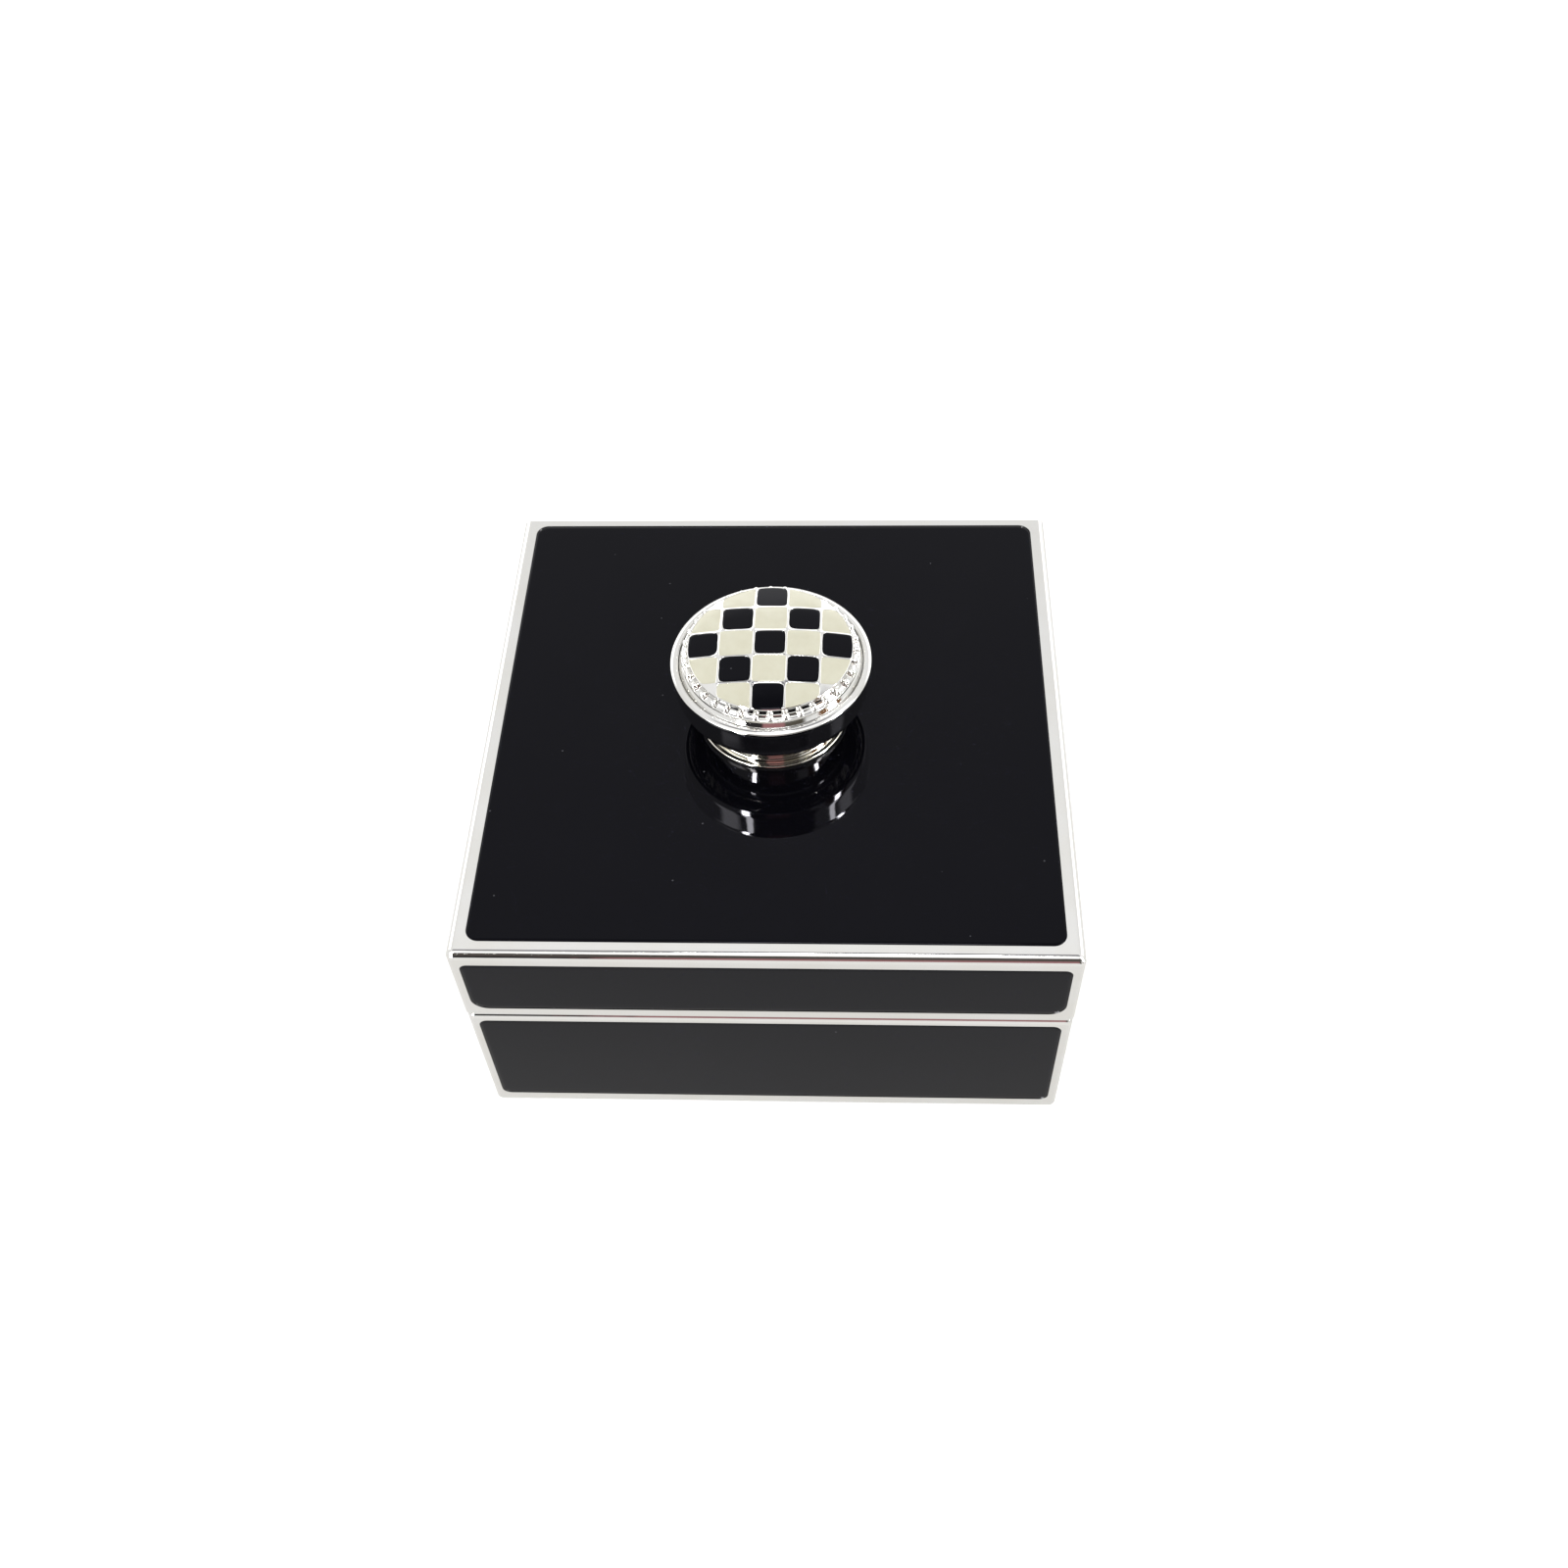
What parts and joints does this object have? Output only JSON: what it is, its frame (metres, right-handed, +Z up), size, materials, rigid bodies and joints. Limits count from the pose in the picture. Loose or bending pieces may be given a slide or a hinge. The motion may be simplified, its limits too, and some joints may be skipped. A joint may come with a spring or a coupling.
{
  "type": "powder compact",
  "caption": "Square powder box: enamelled plated-metal base, lift-off lid with a round beaded knob and checked medallion, mirror inside the lid, powder pan in a tray, and a ribboned puff.",
  "frame": {"origin": "centre of the underside, on the surface that the box stands on", "axes": "+Z up through the knob, -Y towards the front, +X to the right; the four sides are alike"},
  "size_m": [0.09, 0.09, 0.0604],
  "materials": {
    "plated_metal": "bright nickel-chrome plate on die-cast metal, polished",
    "black_enamel": "black fired-look enamel, high gloss",
    "cream_enamel": "cream enamel, gloss",
    "rim_metal": "satin steel strip",
    "tray_plastic": "black moulded plastic, fine matt",
    "pan_metal": "drawn aluminium, satin",
    "powder": "pressed face powder, matt",
    "puff_velour": "short-pile velour",
    "ribbon_satin": "woven satin ribbon",
    "mirror_glass": "silvered glass",
    "backing_board": "grey board",
    "felt": "black wool felt",
    "screw_steel": "zinc-plated steel"
  },
  "bodies": {
    "base": {"base_shell": "plated_metal", "base_enamel_front": "black_enamel", "base_enamel_back": "black_enamel", "base_enamel_left": "black_enamel", "base_enamel_right": "black_enamel", "locating_rim": "rim_metal", "powder_tray": "tray_plastic", "powder_pan": "pan_metal", "pressed_powder": "powder", "base_felt_pad": "felt"},
    "lid": {"lid_shell": "plated_metal", "lid_enamel_top": "black_enamel", "lid_enamel_front": "black_enamel", "lid_enamel_back": "black_enamel", "lid_enamel_left": "black_enamel", "lid_enamel_right": "black_enamel", "mirror": "mirror_glass", "mirror_bezel": "plated_metal", "mirror_backing": "backing_board", "knob_foot": "plated_metal", "knob_cup": "plated_metal", "knob_medallion": "plated_metal", "knob_enamel_black": "black_enamel", "knob_enamel_cream": "cream_enamel", "knob_bead_ring": "plated_metal", "knob_screw": "screw_steel", "knob_washer": "screw_steel"},
    "puff": {"puff": "puff_velour", "puff_ribbon": "ribbon_satin"}
  },
  "joints": [
    {"name": "lid_lift", "type": "slide", "parent": "base", "child": "lid", "axis": [0, 0, 1], "range_m": [0, 0.05]},
    {"name": "puff_lift", "type": "slide", "parent": "base", "child": "puff", "axis": [0, 0, 1], "range_m": [0, 0.0075]}
  ]
}
